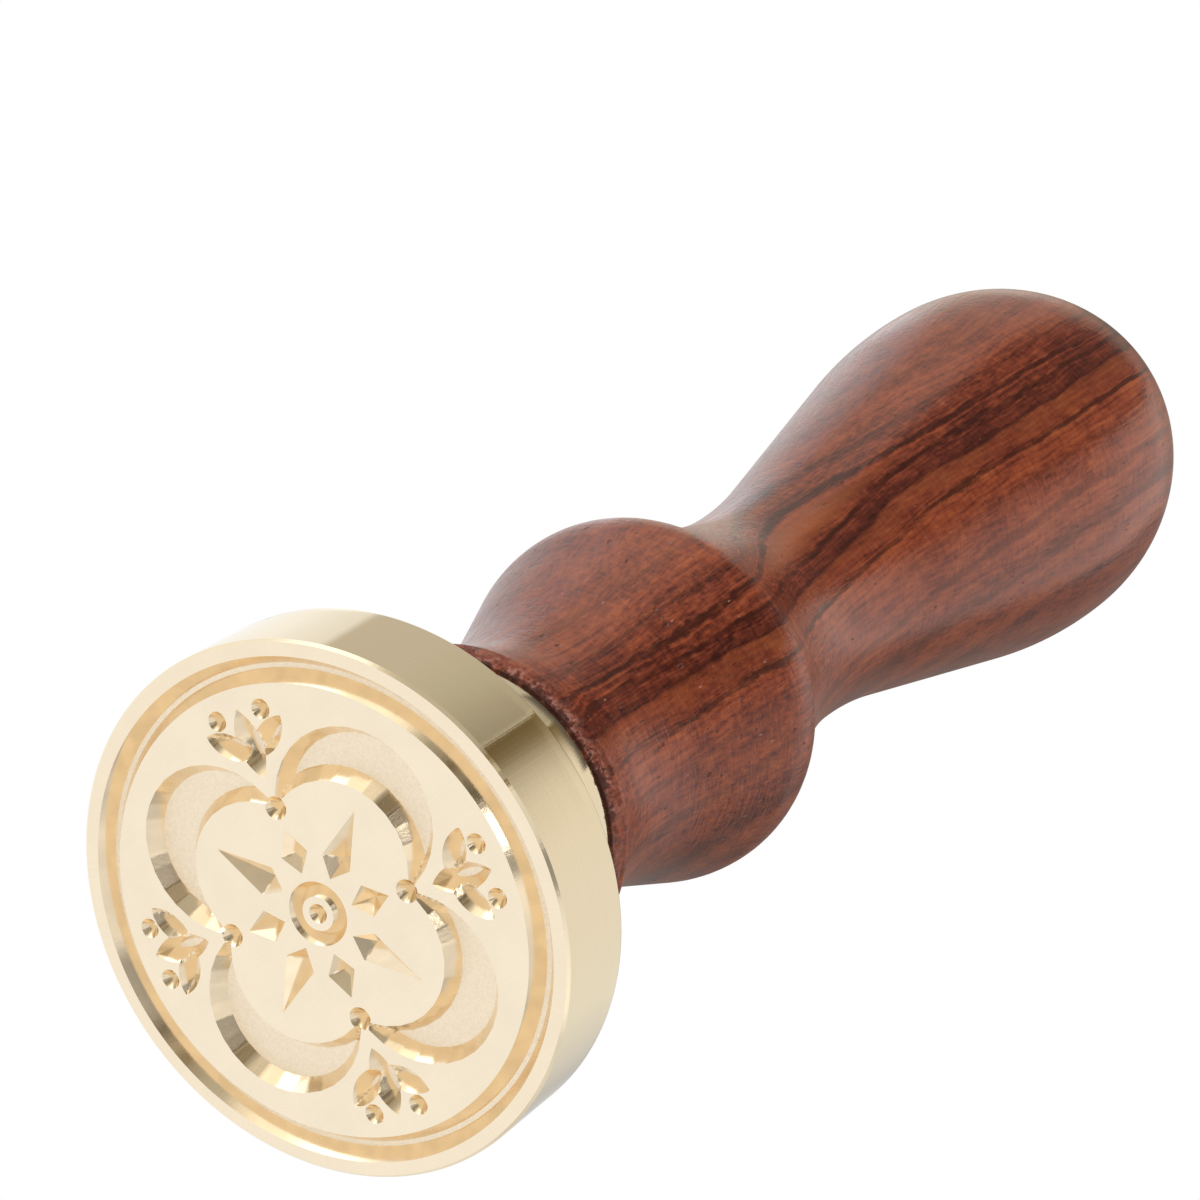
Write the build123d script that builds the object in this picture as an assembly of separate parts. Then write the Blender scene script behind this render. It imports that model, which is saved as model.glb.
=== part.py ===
# Wax seal stamp: an engraved brass seal head, a threaded stud and a turned rosewood handle.
# Millimetres, +Z up. The stamp stands on its seal face, whose centre is the origin.
import os
from math import atan2, copysign, cos, degrees, radians, sin, sqrt, tan

from build123d import *

# Seal head
disc_diameter = 25.0
disc_thickness = 4.7
disc_edge = 0.18  # chamfer round the seal face and the back of the disc
boss_diameter = 15.6
boss_edge = 0.15
head_height = 12.4  # seal face to the top of the boss, where the wood sits

# Stud, an M8 hanger bolt: one end screws into the head, the other is set in the wood
stud_diameter = 8.0
stud_grip = 7.0  # length inside the head
stud_anchor = 16.0  # length inside the handle
stud_chamfer = 0.8
stud_point = 4.0  # length of the pointed wood end
stud_point_flat = 1.6  # diameter left at the tip of the point
thread_clearance = 0.05  # radial, in the head
socket_clearance = 0.05  # radial, in the wood
hole_runout = 0.6  # hole left below the stud
socket_runout = 1.0  # hole left above the stud
hole_mouth = 0.6  # countersink at the mouth of the head's hole
drill_angle = 118.0

# Handle, turned in one piece: a cove, a ball, a long neck and a pear-shaped grip
handle_end_diameter = 16.8
handle_end_edge = 0.3  # chamfer that brings the end down close to the size of the boss
cove_diameter = 13.86
cove_height = 6.1  # heights are above the end of the wood
ball_diameter = 19.0
ball_height = 17.3
neck_diameter = 12.62
neck_height = 30.9
grip_diameter = 21.72
dome_rise = 14.0  # widest place of the grip to the rounded end
handle_length = 77.6
dome_cap = 0.8806  # radius at the very end, as a share of the grip's

# Engraving, cut with a conical cutter that leaves sloping walls and a flat floor
engrave_depth = 0.7
wall_angle = 35.0  # from the cutter's axis
rim_land = 0.75  # flat ring outside the border groove
border_width = 1.2
lobe_count = 4
lobe_reach = 9.4  # seal centre to the outside of each lobe
cusp_reach = 5.0  # seal centre to where two lobes meet
lobe_width = 2.8  # widest part of each crescent
cusp_dot = 1.1
ray_long = 5.6
ray_short = 4.0
ray_root = 1.9
ray_shoulder = 2.8
ray_width = 1.5
eye_diameter = 3.0
eye_groove = 0.7
eye_dimple = 0.9
leaf_root = 6.4  # seal centre to the foot of each spray's middle leaf
leaf_length = 3.2
leaf_width = 1.35
side_leaf_root = 7.35
side_leaf_length = 2.6
side_leaf_width = 1.15
side_leaf_angle = 55.0
berry = 0.95
berry_reach = 9.35
berry_spread = 1.25

disc_radius = disc_diameter / 2
stud_radius = stud_diameter / 2
wall_run = engrave_depth * tan(radians(wall_angle))


def cutter(width, depth):
    # A pit of the given width at the face, with walls that slope in to the given depth.
    floor = max(width / 2 - depth * tan(radians(wall_angle)), 0)
    return Cone(width / 2, floor, depth, align=(Align.CENTER, Align.CENTER, Align.MIN))


def island(diameter):
    # What is left standing inside a cut: it widens towards the floor.
    top = diameter / 2
    return Cone(top, top + wall_run, engrave_depth, align=(Align.CENTER, Align.CENTER, Align.MIN))


def ring_groove(outside, width):
    return cutter(outside, engrave_depth) - island(outside - 2 * width)


def circle_through(tip, cusp, half_angle):
    # Centre and radius of the circle on the X axis through its tip and both cusps.
    cusp_x = cusp * cos(radians(half_angle))
    centre = (tip**2 - cusp**2) / (2 * (tip - cusp_x))
    return centre, tip - centre


def crescent():
    # One lobe of the quatrefoil: full at its tip, running out at the two cusps.
    half_angle = 180 / lobe_count
    out_x, out_r = circle_through(lobe_reach, cusp_reach, half_angle)
    in_x, in_r = circle_through(lobe_reach - lobe_width, cusp_reach, half_angle)
    return Pos(X=out_x) * cutter(2 * out_r, engrave_depth) - Pos(X=in_x) * island(2 * in_r)


def ray(reach):
    # A kite cut to a V: four flat sides meeting at one deepest point.
    half = ray_width / 2
    outline = Polygon(
        (ray_root, 0),
        (ray_shoulder, -half),
        (reach, 0),
        (ray_shoulder, half),
        align=None,
    )
    return loft([outline.face(), Vertex(ray_shoulder, 0, engrave_depth)])


def leaf(length, width):
    # A pointed leaf: the overlap of two round cuts.
    radius = (length**2 + width**2) / (4 * width)
    side = cutter(2 * radius, engrave_depth)
    offset = radius - width / 2
    return Pos(Y=offset) * side & Pos(Y=-offset) * side


def spray():
    # Three leaves from one foot with a berry each side of the middle one, set between two lobes.
    cuts = [Pos(X=leaf_root + leaf_length / 2) * leaf(leaf_length, leaf_width)]
    for side in (1, -1):
        lean = Pos(X=side_leaf_root) * Rot(Z=side * side_leaf_angle)
        cuts.append(lean * Pos(X=side_leaf_length / 2) * leaf(side_leaf_length, side_leaf_width))
        cuts.append(Pos(berry_reach, side * berry_spread) * cutter(berry, berry / 2 / tan(radians(wall_angle))))
    return cuts


def engraving():
    border = disc_diameter - 2 * rim_land
    cuts = [ring_groove(border, border_width), ring_groove(eye_diameter, eye_groove)]
    cuts.append(cutter(eye_dimple, eye_dimple / 2 / tan(radians(wall_angle))))
    for i in range(lobe_count):
        turn = Rot(Z=i * 360 / lobe_count)
        half_turn = Rot(Z=(i + 0.5) * 360 / lobe_count)
        cuts.append(turn * crescent())
        cuts.append(turn * ray(ray_long))
        cuts.append(half_turn * ray(ray_short))
        cuts.append(half_turn * Pos(X=cusp_reach) * cutter(cusp_dot, engrave_depth))
        cuts += [half_turn * cut for cut in spray()]
    return cuts


def drilled_hole(radius, depth):
    # A blind hole along +Z from the origin, with the drill's cone at its end.
    tip = radius / tan(radians(drill_angle / 2))
    low = (Align.CENTER, Align.CENTER, Align.MIN)
    return Cylinder(radius, depth, align=low) + Pos(Z=depth) * Cone(radius, 0, tip, align=low)


def make_head():
    boss_radius = boss_diameter / 2
    with BuildPart() as head:
        with BuildSketch(Plane.XZ):
            with BuildLine():
                Polyline(
                    (0, 0),
                    (disc_radius - disc_edge, 0),
                    (disc_radius, disc_edge),
                    (disc_radius, disc_thickness - disc_edge),
                    (disc_radius - disc_edge, disc_thickness),
                    (boss_radius, disc_thickness),
                    (boss_radius, head_height - boss_edge),
                    (boss_radius - boss_edge, head_height),
                    (0, head_height),
                    close=True,
                )
            make_face()
        revolve(axis=Axis.Z)
    hole_radius = stud_radius + thread_clearance
    hole = Pos(Z=head_height) * Rot(X=180) * drilled_hole(hole_radius, stud_grip + hole_runout)
    mouth = Pos(Z=head_height - hole_mouth) * Cone(
        hole_radius, hole_radius + hole_mouth, hole_mouth, align=(Align.CENTER, Align.CENTER, Align.MIN)
    )
    return head.part - hole - mouth - engraving()


def make_stud():
    low = head_height - stud_grip
    high = head_height + stud_anchor
    with BuildPart() as stud:
        with BuildSketch(Plane.XZ):
            with BuildLine():
                Polyline(
                    (0, low),
                    (stud_radius - stud_chamfer, low),
                    (stud_radius, low + stud_chamfer),
                    (stud_radius, high - stud_point),
                    (stud_point_flat / 2, high),
                    (0, high),
                    close=True,
                )
            make_face()
        revolve(axis=Axis.Z)
    return stud.part


def turned_curve(start, end, fullness, lead):
    # Two arcs and the straight that touches both, from one widest or narrowest place to the next.
    # The arcs' radii add up to a share of the largest sum that fits; the first arc gets the lead.
    run = end[1] - start[1]
    rise = end[0] - start[0]
    radii = fullness * (run**2 + rise**2) / (2 * abs(rise))
    gap = radii - abs(rise)
    length = sqrt(run**2 + gap**2 - radii**2)
    slope = copysign(degrees(atan2(run, gap) - atan2(length, radii)), rise)
    heading = (sin(radians(slope)), cos(radians(slope)))
    if lead:
        start = JernArc(start, (0, 1), lead * radii, -slope) @ 1
    straight = PolarLine(start, length, direction=heading)
    JernArc(straight @ 1, heading, (1 - lead) * radii, slope)


def dome(base, top):
    # Two arcs from the widest place of the grip to the pole.
    rise = top - base[1]
    cap = dome_cap * base[0]
    side = (base[0] ** 2 + rise**2 - 2 * cap * rise) / (2 * (base[0] - cap))
    sweep = degrees(atan2(rise - cap, side - base[0]))
    shoulder = JernArc(base, (0, 1), side, sweep)
    JernArc(shoulder @ 1, shoulder % 1, cap, 90 - sweep)


def make_handle():
    end_radius = handle_end_diameter / 2
    end = (end_radius, handle_end_edge)
    cove = (cove_diameter / 2, cove_height)
    ball = (ball_diameter / 2, ball_height)
    neck = (neck_diameter / 2, neck_height)
    grip = (grip_diameter / 2, handle_length - dome_rise)
    with BuildPart() as handle:
        with BuildSketch(Plane.XZ):
            with BuildLine():
                Polyline((0, handle_length), (0, 0), (end_radius - handle_end_edge, 0), end)
                turned_curve(end, cove, 0.857, 0)
                turned_curve(cove, ball, 0.825, 0.767)
                turned_curve(ball, neck, 0.98, 0.129)
                turned_curve(neck, grip, 0.754, 0.5)
                dome(grip, handle_length)
            make_face()
        revolve(axis=Axis.Z)
    socket = drilled_hole(stud_radius + socket_clearance, stud_anchor + socket_runout)
    return Pos(Z=head_height) * (handle.part - socket)


os.makedirs("parts", exist_ok=True)
pieces = {"seal_head": make_head(), "threaded_stud": make_stud(), "handle": make_handle()}
for name, piece in pieces.items():
    export_step(piece, f"parts/{name}.step")
    print(name, len(piece.solids()), "solid", round(piece.volume, 1), "mm3")
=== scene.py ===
from math import atan2, copysign, cos, pi, radians, sin, sqrt, tan

import bpy
import numpy as np
from mathutils import Matrix, Vector, noise


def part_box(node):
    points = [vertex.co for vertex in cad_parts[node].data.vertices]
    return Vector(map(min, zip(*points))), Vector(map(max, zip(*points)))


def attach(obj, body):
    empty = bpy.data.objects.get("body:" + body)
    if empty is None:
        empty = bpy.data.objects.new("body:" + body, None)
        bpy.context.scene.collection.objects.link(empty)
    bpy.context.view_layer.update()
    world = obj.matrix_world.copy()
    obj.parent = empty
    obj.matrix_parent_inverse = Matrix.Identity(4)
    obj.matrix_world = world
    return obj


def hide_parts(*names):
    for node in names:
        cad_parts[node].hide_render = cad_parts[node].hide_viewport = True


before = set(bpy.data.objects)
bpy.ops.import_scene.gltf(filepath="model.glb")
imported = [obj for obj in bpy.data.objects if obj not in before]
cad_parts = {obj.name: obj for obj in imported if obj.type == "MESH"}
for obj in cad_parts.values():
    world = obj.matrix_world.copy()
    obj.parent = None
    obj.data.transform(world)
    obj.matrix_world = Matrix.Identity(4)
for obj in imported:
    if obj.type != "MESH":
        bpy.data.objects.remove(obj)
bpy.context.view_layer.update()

mm = 0.001
scene = bpy.context.scene
scene.view_settings.view_transform = "Standard"


def nodeSpan(node):
    # lowest and highest place of a CAD node, and its radius, mm
    low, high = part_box(node)
    return [round(size / mm, 3) for size in (low.z, high.z, (high.x - low.x) / 2)]


_, headTop, headRadius = nodeSpan("seal_head")
studFoot, studTip, _ = nodeSpan("threaded_stud")
woodFoot, woodTop, _ = nodeSpan("handle")


def addObject(name, data):
    thing = bpy.data.objects.new(name, data)
    scene.collection.objects.link(thing)
    return thing


# camera, fitted to the rim ellipse and the handle outline, in camera axes: right, down, away
cameraFit = {
    "lens": 103.48,
    "sensor": 36.0,
    "clipStart": 5.0,  # mm
    "faceCentre": (-12.264, 13.646, 150.0),  # mm
    "stampAxis": (0.4775, -0.2871, 0.8304),  # seal face towards the end of the grip
    "turn": 21.0,  # degrees, where the ornament's first lobe points
}


def stampAxes():
    axis = Vector(cameraFit["stampAxis"]).normalized()
    side = (Vector((1, 0, 0)) - axis * axis.x).normalized()
    below = axis.cross(side)
    angle = radians(cameraFit["turn"])
    lobe = side * cos(angle) + below * sin(angle)
    return Matrix((lobe, axis.cross(lobe), axis))


toStamp = stampAxes()  # turns a direction that the camera sees into the stamp's frame


def seen(right, down, away):
    return toStamp @ Vector((right, down, away))


def makeCamera():
    data = bpy.data.cameras.new("camera")
    data.lens = cameraFit["lens"]
    data.sensor_width = cameraFit["sensor"]
    data.clip_start = cameraFit["clipStart"] * mm
    camera = addObject("camera", data)
    turn = Matrix((seen(1, 0, 0), seen(0, -1, 0), seen(0, 0, -1))).transposed()
    place = -seen(*cameraFit["faceCentre"]) * mm
    camera.matrix_world = Matrix.Translation(place) @ turn.to_4x4()
    scene.camera = camera


makeCamera()
print("camera set")


# node helpers
noiseSpan = (0.3, 0.7)  # most of a noise lies between these


def isSocket(value):
    return isinstance(value, bpy.types.NodeSocket)


def setInputs(node, inputs):
    for key, value in inputs.items():
        if isSocket(value):
            node.id_data.links.new(value, node.inputs[key])
        else:
            node.inputs[key].default_value = value


def addNode(tree, kind, inputs=None, **settings):
    node = tree.nodes.new(kind)
    for key, value in settings.items():
        setattr(node, key, value)
    setInputs(node, inputs or {})
    return node


def joinNode(kind, inputs, **settings):
    # a node in the same tree as the first socket that feeds it
    tree = next(value.id_data for value in inputs.values() if isSocket(value))
    return addNode(tree, kind, inputs, **settings)


def mathNode(operation, first, second=0.0, clamp=False):
    inputs = {0: first, 1: second}
    return joinNode("ShaderNodeMath", inputs, operation=operation, use_clamp=clamp).outputs[0]


def times(first, second):
    return mathNode("MULTIPLY", first, second)


def plus(first, second):
    return mathNode("ADD", first, second)


def minus(first, second):
    return mathNode("SUBTRACT", first, second)


def addShares(value, shares):
    # adds so much of each part to a value
    for part, share in shares:
        value = plus(value, times(part, share))
    return value


def spread(value, low, high, newLow=0.0, newHigh=1.0, smooth=True):
    inputs = {"Value": value, "From Min": low, "From Max": high, "To Min": newLow, "To Max": newHigh}
    kind = "SMOOTHSTEP" if smooth else "LINEAR"
    return joinNode("ShaderNodeMapRange", inputs, interpolation_type=kind).outputs["Result"]


def vectorNode(operation, *vectors):
    inputs = dict(enumerate(vectors))
    return joinNode("ShaderNodeVectorMath", inputs, operation=operation).outputs["Value"]


def asColour(value):
    return value if isSocket(value) else (*value, 1)


def mixColour(factor, first, second, blend="MIX"):
    inputs = {0: factor, 6: asColour(first), 7: asColour(second)}
    return joinNode("ShaderNodeMix", inputs, data_type="RGBA", blend_type=blend).outputs[2]


def ramp(factor, stops):
    node = joinNode("ShaderNodeValToRGB", {"Fac": factor})
    elements = node.color_ramp.elements
    while len(elements) < len(stops):
        elements.new(1.0)
    for element, (place, colour) in zip(elements, stops):
        element.position = place
        element.color = asColour(colour)
    return node.outputs["Color"]


def stretched(vector, perMm, turn=0.0):
    # coordinates in metres, turned round the axis and scaled to so many features a millimetre
    if turn:
        inputs = {"Vector": vector, "Rotation": (0, 0, radians(turn))}
        vector = joinNode("ShaderNodeMapping", inputs).outputs[0]
    scale = [count / mm for count in perMm]
    return joinNode("ShaderNodeMapping", {"Vector": vector, "Scale": scale}).outputs[0]


def markNode(place, mark, turn=0.0):
    # noise from a mark: features to a millimetre along each axis, detail, roughness
    perMm, detail, rough = mark
    vector = stretched(place, perMm, turn)
    inputs = {"Vector": vector, "Scale": 1.0, "Detail": detail, "Roughness": rough}
    return joinNode("ShaderNodeTexNoise", inputs).outputs[0]


def lineNoise(along, count, detail, rough):
    # noise along one line, with so many features to a unit
    inputs = {"W": times(along, count), "Scale": 1.0, "Detail": detail, "Roughness": rough}
    return joinNode("ShaderNodeTexNoise", inputs, noise_dimensions="1D").outputs[0]


def cellDots(place, perMm, inner, outer):
    # a round dot in each random cell, and the cell's random numbers
    inputs = {"Vector": stretched(place, perMm), "Scale": 1.0}
    cells = joinNode("ShaderNodeTexVoronoi", inputs).outputs
    dots = spread(cells["Distance"], inner, outer, 1, 0)
    return dots, joinNode("ShaderNodeSeparateColor", {"Color": cells["Color"]}).outputs


def roundAxis(place):
    # height, distance from the axis and angle round it
    apart = joinNode("ShaderNodeSeparateXYZ", {"Vector": place}).outputs
    flat = joinNode("ShaderNodeCombineXYZ", {"X": apart["X"], "Y": apart["Y"]}).outputs[0]
    return apart["Z"], vectorNode("LENGTH", flat), mathNode("ARCTAN2", apart["Y"], apart["X"])


def srgb(red, green, blue):
    def one(value):
        value /= 255
        return value / 12.92 if value <= 0.04045 else ((value + 0.055) / 1.055) ** 2.4
    return one(red), one(green), one(blue)


def dimmed(colour, share):
    return tuple(share * part for part in colour)


def emptyMaterial(name):
    material = bpy.data.materials.new(name)
    material.use_nodes = True
    tree = material.node_tree
    tree.nodes.clear()
    return material, tree, addNode(tree, "ShaderNodeOutputMaterial").inputs["Surface"]


def objectPlace(tree):
    return addNode(tree, "ShaderNodeTexCoord").outputs["Object"]


def newMaterial(name):
    material, tree, surface = emptyMaterial(name)
    shader = addNode(tree, "ShaderNodeBsdfPrincipled")
    tree.links.new(shader.outputs[0], surface)
    return material, shader, objectPlace(tree)


def setShader(shader, **values):
    setInputs(shader, {key.replace("_", " "): value for key, value in values.items()})


def bump(height, depth):
    inputs = {"Height": height, "Distance": depth * mm, "Strength": 1.0}
    return joinNode("ShaderNodeBump", inputs).outputs[0]


# mesh helpers
def ringFaces(ringCount, columns, first=0):
    # quads between rings stored one after the other
    ring, column = np.meshgrid(np.arange(ringCount - 1), np.arange(columns), indexing="ij")
    after = (column + 1) % columns
    a = first + ring * columns + column
    b = first + ring * columns + after
    return np.stack([a, b, b + columns, a + columns], axis=-1).reshape(-1, 4)


def poleFaces(pole, ring, columns, opening):
    column = np.arange(columns)
    here, after = ring + column, ring + (column + 1) % columns
    pair = (after, here) if opening else (here, after)
    return np.stack([np.full(columns, pole), *pair], axis=-1)


def columnAngles(columns):
    return np.arange(columns) * 2 * pi / columns


def turnedRings(profile, columns):
    # points of a profile of radius and height, turned round the axis ring by ring
    angle = columnAngles(columns)
    rings = np.stack([
        profile[:, :1] * np.cos(angle),
        profile[:, :1] * np.sin(angle),
        np.repeat(profile[:, 1:], columns, axis=1),
    ], axis=-1)
    return rings.reshape(-1, 3)


def closedBody(rings, columns, bottom, top):
    # joins rings, and closes both ends with a point on the axis
    points = np.vstack([[[0, 0, bottom]], rings, [[0, 0, top]]])
    last = len(points) - 1
    faces = [*poleFaces(0, 1, columns, True), *ringFaces(len(rings) // columns, columns, 1)]
    faces += [*poleFaces(last, last - columns, columns, False)]
    return points, faces


def runTo(points, *stops):
    # carries a profile on by straight runs, each cut into so many steps
    for radius, height, steps in stops:
        r0, z0 = points[-1]
        for i in range(1, steps + 1):
            points.append((r0 + (radius - r0) * i / steps, z0 + (height - z0) * i / steps))


def arcTo(points, centre, radius, start, end, steps):
    # carries a profile on round an arc, from one angle to another
    for i in range(1, steps + 1):
        turn = start + (end - start) * i / steps
        points.append((centre[0] + radius * cos(turn), centre[1] + radius * sin(turn)))


def makePiece(name, body, node, points, faces, materials, sharp, indices=None):
    mesh = bpy.data.meshes.new(name)
    mesh.from_pydata((np.asarray(points) * mm).tolist(), [], [list(map(int, f)) for f in faces])
    for material in materials:
        mesh.materials.append(material)
    if indices is not None:
        mesh.polygons.foreach_set("material_index", np.asarray(indices, dtype=np.int32))
    mesh.polygons.foreach_set("use_smooth", np.ones(len(mesh.polygons), dtype=bool))
    mesh.set_sharp_from_angle(angle=radians(sharp))
    mesh.validate()
    mesh.update()
    piece = addObject(name, mesh)
    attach(piece, body)
    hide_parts(node)
    return piece


# brass finishes; a mark is features to a millimetre along each axis, detail, roughness
brass = {
    "field": srgb(250, 236, 211),
    "floor": srgb(250, 234, 208),
    "wall": srgb(247, 227, 195),
    # colour of the chips, light as a painted sparkle
    "chipSparkle": srgb(255, 248, 232),
    "side": srgb(248, 232, 200),
    "fieldRough": 0.30,
    "floorRough": 0.42,
    "wallRough": 0.14,
    "sideRough": 0.05,
    "fieldRelief": 0.0010,  # mm
    "floorRelief": 0.005,
    "wallRelief": 0.003,
    "sideRelief": 0.0014,
    "brush": ((0.25, 11, 0.25), 3, 0.6),
    "brushTurn": 62.0,  # degrees, direction of the brush lines on the face
    "scratch": ((0.4, 16, 0.4), 2, 0.6),
    "scratchTurn": 136.0,
    "scratchSpan": (0.62, 0.72),  # part of the noise that makes a scratch
    "cloud": ((0.35, 0.35, 0.35), 3, 0.55),
    "rimStrokes": (95, 3, 0.7),  # to a radian, detail, roughness
    "rimFade": 0.05,  # mm
    "grain": ((9, 9, 2), 3, 0.65),
    "speck": ((4.2, 4.2, 1), 1, 0.5),
    "chips": ((11, 11, 2), 0.10, 0.34),  # cells to a millimetre, and the size of a chip in its cell
    "chipPick": (0.84, 0.88),  # the cells that have one
    "wallLines": ((5.5, 5.5, 0.1), 3, 0.7),
    "wallWaves": ((0.9, 0.9, 0.1), 1, 0.5),
    "sideRings": (14, 9, 3, 0.65),  # to a millimetre along the axis and away from it, detail, roughness
    "sideStreaks": (70, 2, 0.6),  # to a radian, detail, roughness
    "sidePatches": ((0.3, 0.3, 0.6), 2, 0.5),
}


def brassField():
    # flat lands: faint parallel brush lines, a cloud, stray scratches and short strokes across the rim
    b = brass
    material, shader, place = newMaterial("brass_field")
    lines = markNode(place, b["brush"], b["brushTurn"])
    scratch = spread(markNode(place, b["scratch"], b["scratchTurn"]), *b["scratchSpan"])
    cloud = spread(markNode(place, b["cloud"]), *noiseSpan)
    _, radius, around = roundAxis(place)
    land = ornament["borderOutside"]
    rim = spread(radius, land * mm, (land + b["rimFade"]) * mm)
    strokes = times(spread(lineNoise(around, *b["rimStrokes"]), *noiseSpan), rim)
    tone = mixColour(cloud, b["field"], dimmed(b["field"], 0.965))
    tone = mixColour(times(lines, 0.04), tone, b["wall"])
    tone = mixColour(times(strokes, 0.35), tone, b["wall"])
    rough = plus(spread(lines, *noiseSpan, -0.05, 0.06), b["fieldRough"])
    relief = bump(addShares(lines, [(scratch, 0.5), (strokes, 1.5)]), b["fieldRelief"])
    setShader(shader, Base_Color=tone, Metallic=1.0, Roughness=rough, Normal=relief)
    return material


def brassFloor():
    # sunk floors: frosted by the cutter's overlapping passes, with a few small chips, their colour
    # lightened as painted sparkle
    b = brass
    material, shader, place = newMaterial("brass_floor")
    grain = markNode(place, b["grain"])
    speck = markNode(place, b["speck"])
    dots, pick = cellDots(place, *b["chips"])
    chipSparkle = times(dots, spread(pick["Red"], *b["chipPick"]))
    light, dull = dimmed(b["floor"], 0.98), dimmed(b["floor"], 0.92)
    tone = mixColour(spread(grain, 0.35, 0.7), light, dull)
    # the chips are painted lighter, as sparkle
    tone = mixColour(chipSparkle, tone, b["chipSparkle"])
    rough = spread(grain, *noiseSpan, b["floorRough"] - 0.06, b["floorRough"] + 0.06)
    rough = minus(rough, times(chipSparkle, 0.25))
    relief = bump(addShares(grain, [(speck, 0.6), (chipSparkle, 1.5)]), b["floorRelief"])
    setShader(shader, Base_Color=tone, Metallic=1.0, Roughness=rough, Normal=relief)
    return material


def brassWall():
    # cut walls: bright, with fine lines that run down from the edge
    b = brass
    material, shader, place = newMaterial("brass_wall")
    lines = markNode(place, b["wallLines"])
    waves = markNode(place, b["wallWaves"])
    tone = mixColour(spread(waves, 0.35, 0.65), b["wall"], dimmed(b["wall"], 0.93))
    relief = bump(addShares(lines, [(waves, 1.2)]), b["wallRelief"])
    setShader(shader, Base_Color=tone, Metallic=1.0, Roughness=b["wallRough"], Normal=relief)
    return material


def brassTurned():
    # turned sides: fine rings round the axis, with faint streaks along it
    b = brass
    material, shader, place = newMaterial("brass_turned")
    height, radius, around = roundAxis(place)
    upward, outward, *texture = b["sideRings"]
    along = plus(times(height, upward / mm), times(radius, outward / mm))
    rings = lineNoise(along, 1.0, *texture)
    streaks = lineNoise(around, *b["sideStreaks"])
    patch = markNode(place, b["sidePatches"])
    tone = mixColour(spread(rings, 0.35, 0.7), b["side"], dimmed(b["side"], 0.95))
    rough = plus(spread(patch, *noiseSpan, -0.01, 0.03), b["sideRough"])
    relief = bump(addShares(rings, [(streaks, 0.8)]), b["sideRelief"])
    tangent = addNode(material.node_tree, "ShaderNodeTangent", direction_type="RADIAL", axis="Z").outputs[0]
    setShader(shader, Base_Color=tone, Metallic=1.0, Roughness=rough, Normal=relief,
              Anisotropic=0.8, Anisotropic_Rotation=0.25, Tangent=tangent)
    return material


# seal head
sealHead = {
    "columns": 400,
    "thickness": 4.7,
    "edge": 0.13,
    "bossRadius": 7.8,
    "bossEdge": 0.15,
    "fillet": 0.3,
    "holeRadius": 4.05,
    "holeDepth": 7.6,
    "holeMouth": 0.6,
    "drillAngle": 118.0,
    "cutDepth": 0.7,
    "wallAngle": 35.0,
    "level": 0.004,  # a face this near a land or a floor is part of it
    "sharp": 25,  # degrees
}
# generic ornament: a border groove, a quatrefoil of crescents, a star of eight rays, four leaf sprays
ornament = {
    "borderOutside": 11.75,
    "borderInside": 10.55,
    "lobeReach": 9.4,
    "cuspReach": 5.0,
    "lobeWidth": 2.8,
    "lobeFlats": 30,  # flats that the cutter left along each curve
    "cuspDot": 0.55,
    "rayLong": 5.6,
    "rayShort": 4.0,
    "rayRoot": 1.9,
    "rayShoulder": 2.8,
    "rayHalf": 0.75,
    "eyeOutside": 1.5,
    "eyeInside": 0.8,
    "dimple": 0.45,
    "leaf": (6.4, 0.0, 3.2, 1.35),  # foot, lean in degrees, length, width
    "sideLeaf": (7.35, 55.0, 2.6, 1.15),
    "berry": 0.475,
    "berryPlace": (9.35, 1.25),
    "dotFlats": 14,  # flats round the end of each plunge
}
wallSlope = tan(radians(sealHead["wallAngle"]))
wallRun = sealHead["cutDepth"] * wallSlope


def roundCut(x, y, centreX, centreY, radius, flats):
    # distance inside a round cut whose wall is made of short flats
    dx, dy = x - centreX, y - centreY
    sector = 2 * pi / flats
    turn = np.mod(np.arctan2(dy, dx), sector) - sector / 2
    return radius * cos(sector / 2) - np.hypot(dx, dy) * np.cos(turn)


def leafCut(x, y, foot, lean, length, width):
    # distance inside a pointed leaf, the overlap of two round cuts
    radius = (length**2 + width**2) / (4 * width)
    turn = radians(lean)
    along = (x - foot) * cos(turn) + y * sin(turn) - length / 2
    across = y * cos(turn) - (x - foot) * sin(turn)
    return radius - np.hypot(along, np.abs(across) + radius - width / 2)


def rayCut(x, y, reach, turn):
    # distance inside a four-sided V cut, scaled so that its point is at full depth
    along = x * cos(turn) + y * sin(turn)
    across = np.abs(y * cos(turn) - x * sin(turn))
    root, shoulder, half = ornament["rayRoot"], ornament["rayShoulder"], ornament["rayHalf"]
    back = (along - root) * half - across * (shoulder - root)
    front = (reach - along) * half - across * (reach - shoulder)
    return wallRun * np.minimum(back / ((shoulder - root) * half), front / ((reach - shoulder) * half))


def lobeCircle(tip):
    cusp = ornament["cuspReach"]
    centre = (tip**2 - cusp**2) / (2 * (tip - cusp * cos(pi / 4)))
    return centre, tip - centre


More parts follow.
